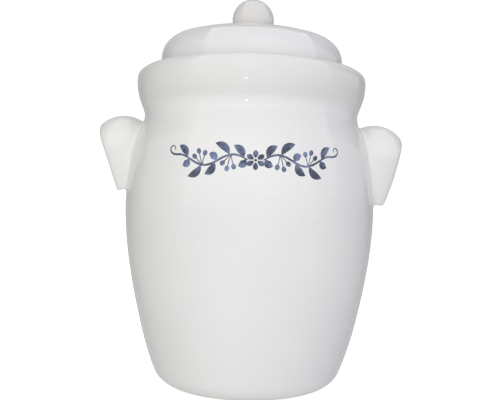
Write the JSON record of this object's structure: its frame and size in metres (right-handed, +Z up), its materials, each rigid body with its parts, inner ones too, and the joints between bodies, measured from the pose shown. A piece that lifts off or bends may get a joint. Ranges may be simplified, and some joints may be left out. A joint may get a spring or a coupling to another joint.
{
  "type": "rumtopf pot",
  "caption": "Tall white glazed stoneware crock for fruit in rum, bellied, with hollow ears, a water gutter round the mouth and a knobbed cap lid.",
  "frame": {"origin": "middle of the foot ring's flat underside, on the table", "axes": "+Z up along the pot's axis of turning; -Y towards the viewer of the picture; the ears stand on -X (left) and +X (right)"},
  "size_m": [0.2569, 0.21, 0.3264],
  "materials": {
    "glaze_pot_body": "gloss",
    "glaze_gutter_collar": "gloss",
    "glaze_inner_neck": "gloss",
    "glaze_left_ear": "gloss",
    "glaze_right_ear": "gloss",
    "glaze_lid_cap": "gloss",
    "glaze_lid_knob": "gloss"
  },
  "bodies": {
    "pot": {"pot_body": "glaze_pot_body", "gutter_collar": "glaze_gutter_collar", "inner_neck": "glaze_inner_neck", "left_ear": "glaze_left_ear", "right_ear": "glaze_right_ear"},
    "lid": {"lid_cap": "glaze_lid_cap", "lid_knob": "glaze_lid_knob"}
  },
  "joints": [
    {"name": "lid_lift", "type": "slide", "parent": "pot", "child": "lid", "axis": [0, 0, 1], "range_m": [0, 0.18]}
  ]
}
